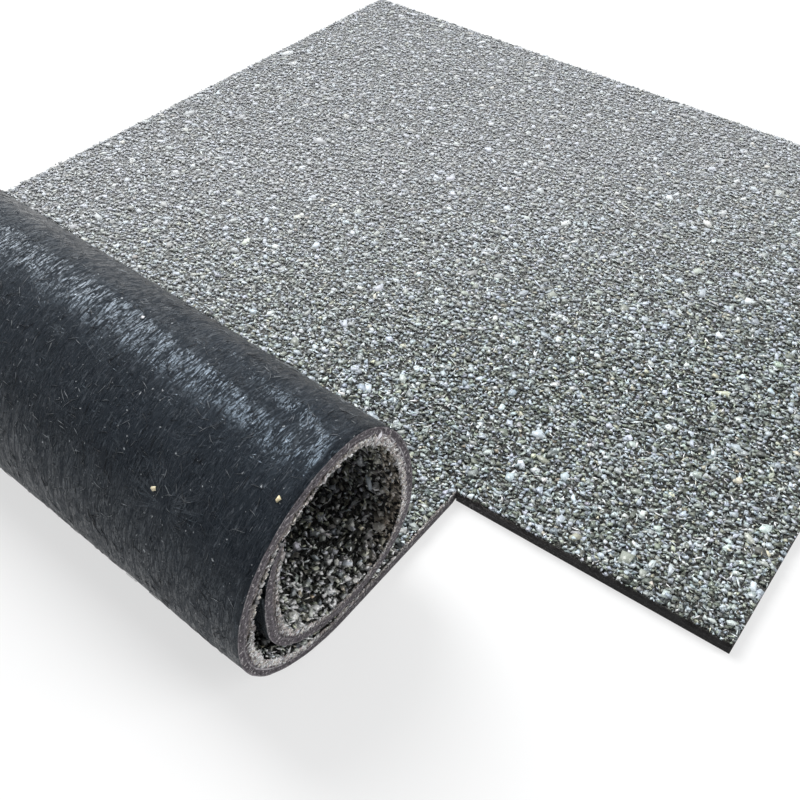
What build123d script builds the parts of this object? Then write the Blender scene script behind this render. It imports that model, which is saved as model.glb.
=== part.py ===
from build123d import *
import os
from math import cos, radians, sin, tan

# A part-unrolled piece of mineral-surfaced roofing felt, in millimetres.
# It is one sheet: a flat field, granules up, with a tongue at its left that is wound up
# granules inwards, so that the roll shows the sheet's black back on the outside.
# While it is drawn, X runs from the roll to the field across the roll's axis, Y runs along
# that axis away from the cut end of the roll, and Z is up. X is zero where the sheet leaves
# the ground to start the roll, and Y is zero at the roll's cut end.

# The sheet: bitumen, reinforcement and granules together.
SHEET_THICKNESS = 5.0

# The outer turn is a slightly tall oval of quarter ellipses, measured on the sheet's back.
# The upper right quarter's height follows from the other three.
LOWER_LEFT_WIDTH = 35.6
LOWER_LEFT_HEIGHT = 30.7
UPPER_LEFT_WIDTH = 41.1
UPPER_LEFT_HEIGHT = 42.7
UPPER_RIGHT_WIDTH = 25.5
LOWER_RIGHT_WIDTH = 25.4
LOWER_RIGHT_HEIGHT = 26.3

# The inner turn lies on the tail and nests in the outer turn.
# The crescent is the open gap at its left, and the leaf is its last stretch, which climbs
# until it meets the outer turn and is cut there to a thin edge.
LAY_CLEARANCE = 0.3
CRESCENT_GAP = 4.5
LEAF_SWEEP = 52.0
LEAF_CLEARANCE = 0.3
LEAF_EDGE_THICKNESS = 1.4
LEAF_POINTS = 6

# The flat parts: the tail runs from the roll to the notch, and the field runs on from there.
TONGUE_WIDTH = 250.0
TAIL_LENGTH = 54.0
FIELD_LENGTH = 268.0
FIELD_OVERHANG = 90.0
NOTCH_SKEW = 3.3

# The knife ran on a little past the notch's corner.
OVERCUT_LENGTH = 2.5
OVERCUT_WIDTH = 0.5

# Places that follow from the sizes above, in the plane across the roll.
FIELD_END = TAIL_LENGTH + FIELD_LENGTH
CROWN_X = UPPER_LEFT_WIDTH - LOWER_LEFT_WIDTH
CROWN_Z = LOWER_LEFT_HEIGHT + UPPER_LEFT_HEIGHT
INNER_BOTTOM = SHEET_THICKNESS + LAY_CLEARANCE
RIGHT_Z = INNER_BOTTOM + LOWER_RIGHT_HEIGHT
UPPER_RIGHT_HEIGHT = CROWN_Z - RIGHT_Z
RETURN_X = CROWN_X + UPPER_RIGHT_WIDTH - LOWER_RIGHT_WIDTH
INNER_LEFT_WIDTH = RETURN_X + LOWER_LEFT_WIDTH - SHEET_THICKNESS - CRESCENT_GAP
INNER_LEFT_HEIGHT = LOWER_LEFT_HEIGHT - INNER_BOTTOM


def quarter(center, width, height, start, inset):
    """A quarter ellipse, run clockwise from the start angle and drawn inset from its size."""
    return EllipticalCenterArc(center, width - inset, height - inset, start, arc_size=-90)


def turns(inset):
    """The five quarters from the tail to the leaf, on the back (0) or the granules (thickness)."""
    left = (0, LOWER_LEFT_HEIGHT)
    upper_left = (CROWN_X, LOWER_LEFT_HEIGHT)
    upper_right = (CROWN_X, RIGHT_Z)
    lower_right = (RETURN_X, RIGHT_Z)
    inner_left = (RETURN_X, LOWER_LEFT_HEIGHT)
    return [
        quarter(left, LOWER_LEFT_WIDTH, LOWER_LEFT_HEIGHT, -90, inset),
        quarter(upper_left, UPPER_LEFT_WIDTH, UPPER_LEFT_HEIGHT, 180, inset),
        quarter(upper_right, UPPER_RIGHT_WIDTH, UPPER_RIGHT_HEIGHT, 90, inset),
        quarter(lower_right, LOWER_RIGHT_WIDTH, LOWER_RIGHT_HEIGHT, 0, inset),
        quarter(inner_left, INNER_LEFT_WIDTH, INNER_LEFT_HEIGHT, -90, inset),
    ]


def leaf(inset):
    """The climbing edge of the leaf, which closes on the outer turn and thins out with it."""
    points = []
    for step in range(LEAF_POINTS):
        run = step / (LEAF_POINTS - 1)
        close = 3 * run**2 - 2 * run**3
        gap = CRESCENT_GAP + (LEAF_CLEARANCE - CRESCENT_GAP) * close
        thinned = (SHEET_THICKNESS - LEAF_EDGE_THICKNESS) * run**3 if inset else 0
        depth = SHEET_THICKNESS + gap + inset - thinned
        angle = radians(180 - LEAF_SWEEP * run)
        points.append(
            (
                CROWN_X + (UPPER_LEFT_WIDTH - depth) * cos(angle),
                LOWER_LEFT_HEIGHT + (UPPER_LEFT_HEIGHT - depth) * sin(angle),
            )
        )
    last = (points[-1][0] - points[-2][0], points[-1][1] - points[-2][1])
    return Spline(points, tangents=[(0, 1), last])


def scroll():
    """The outline of the wound sheet across the roll, from the field's end to the leaf."""
    back_leaf = leaf(0)
    granule_leaf = leaf(SHEET_THICKNESS)
    edges = [
        Line((FIELD_END, 0), (0, 0)),
        *turns(0),
        back_leaf,
        Line(back_leaf @ 1, granule_leaf @ 1),
        granule_leaf,
        *turns(SHEET_THICKNESS),
        Line((0, SHEET_THICKNESS), (FIELD_END, SHEET_THICKNESS)),
        Line((FIELD_END, SHEET_THICKNESS), (FIELD_END, 0)),
    ]
    return make_face(edges)


def overhang():
    """The part of the field that reaches out past the roll's cut end, with its skewed edge."""
    foot = TAIL_LENGTH + FIELD_OVERHANG * tan(radians(NOTCH_SKEW))
    return make_face(
        Polyline(
            (TAIL_LENGTH, 0),
            (foot, -FIELD_OVERHANG),
            (FIELD_END, -FIELD_OVERHANG),
            (FIELD_END, 0),
            close=True,
        )
    )


def overcut():
    """The knife's over-cut into the field, on the line of the tail's cut edge."""
    start = Align.MIN
    slit = Box(OVERCUT_LENGTH, OVERCUT_WIDTH, SHEET_THICKNESS, align=(start, Align.CENTER, start))
    return Pos(TAIL_LENGTH, 0, 0) * slit


wound = extrude(Plane.XZ * scroll(), amount=-TONGUE_WIDTH)
sheet = wound + extrude(overhang(), amount=SHEET_THICKNESS) - overcut()

# The finished part stands with its origin at the middle of its footprint, on the ground.
middle_x = (FIELD_END - LOWER_LEFT_WIDTH) / 2
middle_y = (TONGUE_WIDTH - FIELD_OVERHANG) / 2
sheet = Pos(-middle_x, -middle_y, 0) * sheet

os.makedirs("parts", exist_ok=True)
export_step(sheet, "parts/felt_sheet.step")
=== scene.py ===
"""Visual model of a part-unrolled piece of slate-surfaced roofing felt.

One wound body of bitumen carries the sheet's shape. Its slate flakes, the fibres under its
glossy back and the granules in its cut edges are pieces of their own that follow the same
scroll. All sizes are in metres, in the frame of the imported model.
"""

import logging
import math
from dataclasses import dataclass, field, fields
from enum import Enum
from functools import cached_property

import bpy
import numpy as np
from mathutils import Euler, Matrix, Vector


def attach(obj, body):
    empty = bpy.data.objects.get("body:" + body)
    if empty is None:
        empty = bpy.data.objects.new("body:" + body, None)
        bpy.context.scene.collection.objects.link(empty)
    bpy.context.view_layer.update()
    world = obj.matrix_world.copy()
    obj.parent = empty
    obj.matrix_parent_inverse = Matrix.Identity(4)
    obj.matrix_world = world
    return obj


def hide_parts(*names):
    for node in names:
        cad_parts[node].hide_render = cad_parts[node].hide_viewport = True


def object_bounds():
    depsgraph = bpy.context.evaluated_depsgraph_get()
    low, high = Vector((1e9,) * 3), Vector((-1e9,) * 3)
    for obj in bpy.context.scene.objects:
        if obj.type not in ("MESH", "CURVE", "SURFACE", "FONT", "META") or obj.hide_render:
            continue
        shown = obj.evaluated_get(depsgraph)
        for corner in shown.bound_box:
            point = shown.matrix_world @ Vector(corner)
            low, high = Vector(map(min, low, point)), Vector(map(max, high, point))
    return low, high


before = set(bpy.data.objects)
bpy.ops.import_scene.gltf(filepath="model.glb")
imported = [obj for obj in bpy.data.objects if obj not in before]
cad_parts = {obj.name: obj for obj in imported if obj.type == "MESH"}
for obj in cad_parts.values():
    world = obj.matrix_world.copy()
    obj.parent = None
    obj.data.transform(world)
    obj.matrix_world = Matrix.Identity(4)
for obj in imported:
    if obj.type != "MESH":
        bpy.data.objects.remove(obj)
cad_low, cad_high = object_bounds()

log = logging.getLogger("felt")

Array = np.ndarray
Random = np.random.Generator
Socket = bpy.types.NodeSocket
Piece = bpy.types.Object
Pair = tuple[float, float]
Triple = tuple[float, float, float]
Four = tuple[float, float, float, float]
Colour = tuple[float, float, float]
Stops = tuple[tuple[float, object], ...]

BODY = "root"
CAD_NODE = "felt_sheet"
LAY = "lay"
STONE = "stone"
BAKE_MAP = "OFBake"

SEED = 2633
TINY = 1e-6

# The flakes' bed lies at this share of the sheet's depth.
BED = 0.86

# Travel is divided by this length before the finishes look it up in their ramps.
ROLL_LENGTH = 0.3

# Flakes lie flatter and take pale dust with a painted sheen towards the far corner, between
# these values of their distance across less their travel.
FAR_FROM = 0.122
FAR_FULL = 0.310

# How far a flake's corners stray round it as a share of their spacing, how far they reach as a
# share of its size, and how wide a slab flares below.
WANDER = 0.33
REACH = (0.66, 1.22)
FLARE = (1.02, 1.16)

# Rings of a flake's top, sides and underside on the bake map, as shares of its cell's width.
TOP_RING = 0.30
SIDE_RING = 0.46
UNDER_RING = 0.1


def smooth_step(low: float, high: float, value: Array) -> Array:
    """Rises smoothly from 0 at low to 1 at high."""
    share = np.clip((value - low) / (high - low), 0.0, 1.0)
    return share * share * (3.0 - 2.0 * share)


def waves(places: Array, seed: int, longest: float, count: int = 14) -> Array:
    """A smooth random surface made of plane waves in many directions.

    Args:
        places: Rows of two coordinates on the sheet, in metres.
        seed: Seed of the directions and phases.
        longest: Longest wavelength, in metres.
        count: Number of waves.

    Returns:
        One height for each row, mostly between -1 and 1.
    """
    rng = np.random.default_rng(seed)
    total = np.zeros(len(places))
    weight = 0.0
    for _ in range(count):
        length = longest * rng.uniform(0.3, 1.0)
        angle = rng.uniform(0.0, math.tau)
        strength = length / longest
        turn = places @ np.array([math.cos(angle), math.sin(angle)]) * math.tau / length
        total += strength * np.sin(turn + rng.uniform(0.0, math.tau))
        weight += strength * strength
    return total / math.sqrt(2.0 * weight)


def read(items: bpy.types.bpy_prop_collection, name: str, width: int, kind: type) -> Array:
    """Reads a row of numbers for each point, corner or face of a mesh.

    Args:
        items: The points, corners or faces.
        name: What is read.
        width: Numbers in each row.
        kind: Type of the numbers.

    Returns:
        The rows, or plain numbers if the width is 1.
    """
    values = np.empty(len(items) * width, kind)
    items.foreach_get(name, values)
    return values.reshape(-1, width).squeeze()


def write(items: bpy.types.bpy_prop_collection, name: str, values: Array) -> None:
    """Writes a row of numbers for each point, corner or face of a mesh."""
    kind = {"f": np.float32, "i": np.int32, "b": bool}[values.dtype.kind]
    items.foreach_set(name, values.astype(kind).ravel())


@dataclass(frozen=True)
class Quarter:
    """A quarter ellipse of the scroll, run clockwise from its start angle."""

    centre: Pair
    width: float
    height: float
    start: float

    def at(self, share: Array, depth: Array) -> tuple[Array, Array]:
        """Gives the X and Z of places.

        Args:
            share: How far round the quarter, from 0 to 1.
            depth: Distance in from the sheet's back.

        Returns:
            The X and Z of each place.
        """
        angle = np.radians(self.start - 90.0 * share)
        x = self.centre[0] + (self.width - depth) * np.cos(angle)
        z = self.centre[1] + (self.height - depth) * np.sin(angle)
        return x, z


@dataclass(frozen=True)
class Scroll:
    """The line that the sheet follows across the roll, as the CAD solid has it.

    Travel is the distance along the middle of the sheet. It is 0 where the sheet leaves the
    ground, negative on the flat part and positive up the roll. Share is the depth in the sheet,
    from 0 on its back to 1 on its granules. A turn counts quarters, with the leaf from 5 to 6.
    """

    thickness: float = 0.005
    foot_width: float = 0.0356
    foot_height: float = 0.0307
    crown_width: float = 0.0411
    crown_height: float = 0.0427
    fall_width: float = 0.0255
    return_width: float = 0.0254
    return_height: float = 0.0263
    lay_clearance: float = 0.0003
    crescent_gap: float = 0.0045
    leaf_sweep: float = 52.0
    leaf_edge: float = 0.0014
    shift: Pair = (0.1432, 0.080)
    table_rows: int = 2401
    aim: float = 0.0004

    def quarters(self) -> list[Quarter]:
        """The five quarters, from the tail round to the foot of the leaf."""
        crown_x = self.crown_width - self.foot_width
        crown_z = self.foot_height + self.crown_height
        bottom = self.thickness + self.lay_clearance
        right_z = bottom + self.return_height
        return_x = crown_x + self.fall_width - self.return_width
        inner_width = return_x + self.foot_width - self.thickness - self.crescent_gap
        return [
            Quarter((0.0, self.foot_height), self.foot_width, self.foot_height, -90.0),
            Quarter((crown_x, self.foot_height), self.crown_width, self.crown_height, 180.0),
            Quarter((crown_x, right_z), self.fall_width, crown_z - right_z, 90.0),
            Quarter((return_x, right_z), self.return_width, self.return_height, 0.0),
            Quarter((return_x, self.foot_height), inner_width, self.foot_height - bottom, -90.0),
        ]

    def leaf(self, run: Array, share: Array) -> tuple[Array, Array]:
        """The last stretch, which closes on the outer turn and thins out.

        Args:
            run: How far along the leaf, from 0 to 1.
            share: Depth in the sheet.

        Returns:
            The X and Z of each place.
        """
        close = 3.0 * run**2 - 2.0 * run**3
        gap = self.crescent_gap + (self.lay_clearance - self.crescent_gap) * close
        thinned = (self.thickness - self.leaf_edge) * run**3
        depth = self.thickness + gap + (self.thickness - thinned) * share
        return self.quarters()[1].at(self.leaf_sweep / 90.0 * run, depth)

    def at_turn(self, turn: Array, share: Array) -> tuple[Array, Array]:
        """Gives places across the roll by their turn.

        Args:
            turn: The turn of each place.
            share: Depth in the sheet.

        Returns:
            The X and Z of each place.
        """
        x, z = np.zeros(turn.shape), np.zeros(turn.shape)
        for index, quarter in enumerate(self.quarters()):
            here = (turn >= index) & (turn < index + 1)
            x[here], z[here] = quarter.at(turn[here] - index, self.thickness * share[here])
        here = turn >= 5
        x[here], z[here] = self.leaf(np.minimum(turn[here] - 5.0, 1.0), share[here])
        return x, z

    @cached_property
    def table(self) -> tuple[Array, Array]:
        """Turns and the travel at each."""
        turns = np.linspace(0.0, 6.0, self.table_rows)
        x, z = self.at_turn(turns, np.full(turns.shape, 0.5))
        steps = np.hypot(np.diff(x), np.diff(z))
        return turns, np.concatenate([[0.0], np.cumsum(steps)])

    @property
    def end(self) -> float:
        """Travel at the leaf's tip."""
        return float(self.table[1][-1])

    def travel_at(self, turn: float) -> float:
        """Travel at a turn."""
        return float(np.interp(turn, *self.table))

    def between(self, travel: Array, turns: Four) -> Array:
        """Rises from 0 to 1 over the first two of four turns, and falls over the last two."""
        start, full, fall, end = (self.travel_at(turn) for turn in turns)
        return smooth_step(start, full, travel) * (1.0 - smooth_step(fall, end, travel))

    def place(self, travel: Array, across: Array, share: Array) -> Array:
        """Gives places in space from places on the sheet.

        Args:
            travel: Distance along the sheet.
            across: Distance along the roll's axis, from its cut end.
            share: Depth in the sheet.

        Returns:
            One row of X, Y and Z for each place.
        """
        travel, across, share = np.broadcast_arrays(travel, across, share)
        turns, travels = self.table
        x, z = self.at_turn(np.interp(travel, travels, turns), share)
        x = np.where(travel < 0.0, -travel, x)
        z = np.where(travel < 0.0, self.thickness * share, z)
        return np.stack([x - self.shift[0], across - self.shift[1], z], axis=-1)

    def frame_at(self, travel: Array, across: Array, share: float) -> tuple[Array, Array, Array]:
        """Gives places with the way along the sheet and the way out of its granules.

        Args:
            travel: Distance along the sheet.
            across: Distance along the roll's axis.
            share: Depth in the sheet.

        Returns:
            Places, unit vectors along the sheet and unit vectors towards the granule side.
        """
        centre = self.place(travel, across, share)
        ahead = self.place(np.minimum(travel + self.aim, self.end), across, share)
        behind = self.place(np.minimum(travel, self.end - self.aim) - self.aim, across, share)
        along = ahead - behind
        along /= np.linalg.norm(along, axis=1, keepdims=True)
        up = np.stack([along[:, 2], np.zeros(len(along)), -along[:, 0]], axis=1)
        return centre, along, up


@dataclass(frozen=True)
class SheetPlan:
    """The sheet's outline as it lay flat before the tongue was wound up."""

    tongue: float = 0.250
    tail: float = 0.054
    field: float = 0.268
    overhang: float = 0.090
    skew: float = 3.3
    cut_length: float = 0.0025
    cut_width: float = 0.0005
    skew_reach: float = 0.050

    @property
    def field_end(self) -> float:
        """Travel at the field's far end, which is negative."""
        return -(self.tail + self.field)

    def lean(self, across: Array) -> Array:
        """How far the notch's edge has leaned away from the roll."""
        return np.maximum(-across, 0.0) * math.tan(math.radians(self.skew))

    def skewed(self, travel: Array, across: Array) -> Array:
        """Travel after the notch's edge is leaned, which fades out into the field."""
        fade = np.clip(1.0 + (travel + self.tail) / self.skew_reach, 0.0, 1.0)
        return travel - self.lean(across) * fade

    def on_sheet(self, travel: Array, across: Array, past: Array) -> Array:
        """Whether places on the flat part lie on the sheet.

        Args:
            travel: Distance along the sheet.
            across: Distance along the roll's axis.
            past: How far past the edge each place may lie, negative for inside it.

        Returns:
            True for each place on the sheet.
        """
        in_field = travel < -(self.tail + self.lean(across)) + past
        in_width = (across > -self.overhang - past) & (across < self.tongue + past)
        in_cut = (np.abs(across) < self.cut_width / 2) & (travel > -self.tail - self.cut_length)
        in_cut &= travel < -self.tail
        in_length = travel > self.field_end - past
        return (in_field | (across > -past)) & in_width & in_length & ~in_cut


class Mineral(Enum):
    """Sorts of stone, each with its shown colour and its share."""

    @classmethod
    def pick(cls, rng: Random, count: int, dark: float = 0.0) -> tuple[Array, Array]:
        """Draws a sort for each stone.

        Args:
            rng: Source of random numbers.
            count: Number of stones.
            dark: How much more of the dark sorts there is, from 0 to 1.

        Returns:
            The colour of each stone and the number of its sort.
        """
        colours = np.array([sort.value[0] for sort in cls])
        parts = np.array([sort.value[1] for sort in cls])
        parts = parts * (1.0 - dark * np.clip(colours.sum(axis=1) / 3.0 * 2.2, 0.0, 0.9))
        sorts = rng.choice(len(parts), count, p=parts / parts.sum())
        return colours[sorts], sorts


class Stone(Mineral):
    """The sorts of slate: shown colour, share of the flakes and spread of its brightness."""

    CHARCOAL = ((0.095, 0.102, 0.098), 0.10, 0.40)
    OLIVE = ((0.290, 0.296, 0.244), 0.21, 0.36)
    GREY = ((0.440, 0.452, 0.428), 0.28, 0.30)
    BLUE_GREY = ((0.530, 0.556, 0.600), 0.24, 0.24)
    PALE_BLUE = ((0.680, 0.704, 0.750), 0.12, 0.14)
    CHALK = ((0.820, 0.812, 0.770), 0.040, 0.06)
    CREAM = ((0.700, 0.650, 0.510), 0.025, 0.15)
    RUST = ((0.350, 0.280, 0.210), 0.005, 0.20)


class Crystal(Mineral):
    """The cut granules in the inner half of the cut edges: shown colour and share."""

    CREAM = ((0.70, 0.65, 0.58), 0.22)
    PINK = ((0.62, 0.55, 0.54), 0.28)
    WHITE = ((0.90, 0.89, 0.90), 0.28)
    BROWN = ((0.24, 0.20, 0.19), 0.13)
    GREY = ((0.34, 0.33, 0.35), 0.09)


def stone_colours(rng: Random, count: int, dark: float) -> Array:
    """Draws a colour for each flake.

    Args:
        rng: Source of random numbers.
        count: Number of flakes.
        dark: How much more of the dark sorts there is, from 0 to 1.

    Returns:
        One row of red, green, blue and 1 for each flake.
    """
    colour, sorts = Stone.pick(rng, count, dark)
    spread = np.array([stone.value[2] for stone in Stone])[sorts]
    tone = np.exp(rng.normal(0.0, 1.0, count) * spread)
    tint = 1.0 + rng.normal(0.0, 0.025, (count, 3))
    shown = np.clip(colour * tone[:, None] * tint, 0.01, 0.86)
    return np.concatenate([shown, np.ones((count, 1))], axis=1)


@dataclass
class FlakeBatch:
    """Flakes to be made as one mesh, one row each."""

    centre: Array
    along: Array
    up: Array
    length: Array
    width: Array
    height: Array
    colour: Array

    def __len__(self) -> int:
        """Number of flakes."""
        return len(self.centre)

    def pick(self, rows: Array) -> "FlakeBatch":
        """Gives the flakes of some rows, or those marked True."""
        return FlakeBatch(*(getattr(self, part.name)[rows] for part in fields(self)))


@dataclass
class MeshParts:
    """Runs of points and faces that are put together as one mesh."""

    runs: list[tuple[Array, ...]] = field(default_factory=list)
    used: int = 0

    def add(self, points: Array, corners: Array, counts: Array, colours: Array, spots: Array) -> None:
        """Adds a run of points and faces.

        Args:
            points: One row of X, Y and Z for each point.
            corners: The points of each face in turn, counted from this run's first point.
            counts: Number of corners of each face.
            colours: One row of four for each point.
            spots: One place on the bake map for each corner.
        """
        self.runs.append((points, corners + self.used, counts, colours, spots))
        self.used += len(points)

    def make(self, name: str) -> Piece:
        """Makes the object and links it to the scene.

        Args:
            name: Name of the object and its mesh.

        Returns:
            The new object.
        """
        points, corners, counts, colours, spots = map(np.concatenate, zip(*self.runs))
        mesh = bpy.data.meshes.new(name)
        mesh.vertices.add(len(points))
        write(mesh.vertices, "co", points)
        mesh.loops.add(len(corners))
        write(mesh.loops, "vertex_index", corners)
        mesh.polygons.add(len(counts))
        write(mesh.polygons, "loop_start", np.cumsum(counts) - counts)
        write(mesh.attributes.new(STONE, "FLOAT_COLOR", "POINT").data, "color", colours)
        write(mesh.uv_layers.new(name=BAKE_MAP).uv, "vector", spots)
        mesh.update(calc_edges=True)
        mesh.validate()
        piece = bpy.data.objects.new(name, mesh)
        bpy.context.scene.collection.objects.link(piece)
        return piece


class FlakeShape(Enum):
    """How a flake is closed below its flat top, and the shares of tops by their sides."""

    WEDGE = {3: 0.16, 4: 0.50, 5: 0.34}
    SLAB = {4: 0.42, 5: 0.43, 6: 0.15}


def bake_cells(count: int) -> tuple[Array, float]:
    """Divides the bake map into one cell for each flake.

    Args:
        count: Number of flakes.

    Returns:
        The middle of each cell and the cells' width.
    """
    side = max(1, math.ceil(math.sqrt(count)))
    order = np.arange(count)
    middle = np.stack([order % side + 0.5, order // side + 0.5], axis=1) / side
    return middle, 1.0 / side


def add_flakes(
    parts: MeshParts,
    batch: FlakeBatch,
    sides: int,
    shape: FlakeShape,
    rng: Random,
    middle: Array,
    width: float,
) -> None:
    """Adds closed flakes with flat tops of one number of sides.

    Args:
        parts: Mesh that they are added to.
        batch: The flakes.
        sides: Number of sides of each top.
        shape: How each is closed below.
        rng: Source of random numbers.
        middle: Middle of each flake's cell on the bake map.
        width: Width of those cells.
    """
    count = len(batch)
    if count == 0:
        return
    centre, along, up = (rows[:, None, :] for rows in (batch.centre, batch.along, batch.up))
    angle = (np.arange(sides) + rng.uniform(-WANDER, WANDER, (count, sides))) * math.tau / sides
    reach = rng.uniform(*REACH, (count, sides))
    first = (reach * np.cos(angle) * batch.length[:, None])[:, :, None]
    second = (reach * np.sin(angle) * batch.width[:, None])[:, :, None]
    flat = first * along + second * np.cross(up, along)
    drop = up * batch.height[:, None, None]
    ring = np.stack([np.cos(angle), np.sin(angle)], axis=2) * width
    inner = middle[:, None, :] + ring * TOP_RING
    outer = middle[:, None, :] + ring * SIDE_RING
    turn = np.arange(sides)
    after = (turn + 1) % sides
    if shape is FlakeShape.WEDGE:
        below = centre - drop
        side_faces = [after, turn, np.full(sides, sides)]
        side_spots = [inner[:, after], inner[:, turn], (outer[:, turn] + outer[:, after]) / 2]
        under, counts = turn[:0], [sides] + [3] * sides
    else:
        below = centre + flat * rng.uniform(*FLARE, (count, sides, 1)) - drop
        side_faces = [after, turn, turn + sides, after + sides]
        side_spots = [inner[:, after], inner[:, turn], outer[:, turn], outer[:, after]]
        under, counts = turn[::-1], [sides] + [4] * sides + [sides]
    face = np.concatenate([turn, np.stack(side_faces, axis=1).ravel(), under + sides])
    under_spots = middle[:, None, :] + ring[:, under] * UNDER_RING
    side_spots = np.stack(side_spots, axis=2).reshape(count, -1, 2)
    spots = np.concatenate([inner, side_spots, under_spots], axis=1)
    points = np.clip(np.concatenate([centre + flat, below], axis=1), cad_low, cad_high)
    each = points.shape[1]
    corners = (face[None, :] + np.arange(count)[:, None] * each).ravel()
    colours = np.repeat(batch.colour[:, None, :], each, axis=1)
    # Painted highlight: the points below each top are lighter, so the sides show as lit edges.
    colours[:, sides:, :3] = np.clip(colours[:, sides:, :3] * 1.2 + 0.02, 0.0, 0.9)
    rows = [points.reshape(-1, 3), corners, np.tile(counts, count)]
    parts.add(*rows, colours.reshape(-1, 4), spots.reshape(-1, 2))


def flake_piece(name: str, batch: FlakeBatch, shape: FlakeShape, seed: int) -> Piece:
    """Makes one piece out of many flakes, with three to six sides each.

    Args:
        name: Name of the piece.
        batch: The flakes.
        shape: How each flake is closed below.
        seed: Seed of their outlines.

    Returns:
        The new object.
    """
    rng = np.random.default_rng(seed)
    parts = MeshParts()
    middle, width = bake_cells(len(batch))
    sides = rng.choice(tuple(shape.value), len(batch), p=tuple(shape.value.values()))
    for number in shape.value:
        rows = np.nonzero(sides == number)[0]
        add_flakes(parts, batch.pick(rows), number, shape, rng, middle[rows], width)
    return parts.make(name)


def tilted(along: Array, up: Array, rng: Random, spread: Array) -> tuple[Array, Array]:
    """Turns frames at random about their normals and then leans them.

    Args:
        along: Unit vectors along the sheet.
        up: Unit normals.
        rng: Source of random numbers.
        spread: Typical lean of each, in degrees.

    Returns:
        The new unit vectors along each flake and its new normals.
    """
    count = len(up)
    across = np.cross(up, along)
    yaw = rng.uniform(0.0, math.tau, count)[:, None]
    first = np.cos(yaw) * along + np.sin(yaw) * across
    second = np.cross(up, first)
    lean = np.tan(np.radians(np.abs(rng.normal(0.0, 1.0, count)) * spread))[:, None]
    way = rng.uniform(0.0, math.tau, count)[:, None]
    normal = up + lean * (np.cos(way) * first + np.sin(way) * second)
    normal /= np.linalg.norm(normal, axis=1, keepdims=True)
    first = first - normal * np.sum(first * normal, axis=1, keepdims=True)
    first /= np.linalg.norm(first, axis=1, keepdims=True)
    return first, normal


@dataclass(frozen=True)
class Pattern:
    """Noise on a surface and the ramp that it is looked up in.

    Scale is its cycles to the metre, either one number or one for each axis before the turn in
    degrees. Detail counts its octaves, rough is the strength of the finer ones and bend its
    distortion.
    """

    scale: float | Triple
    detail: float = 2.0
    rough: float = 0.5
    bend: float = 0.0
    turn: float = 0.0
    stops: Stops = ()


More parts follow.
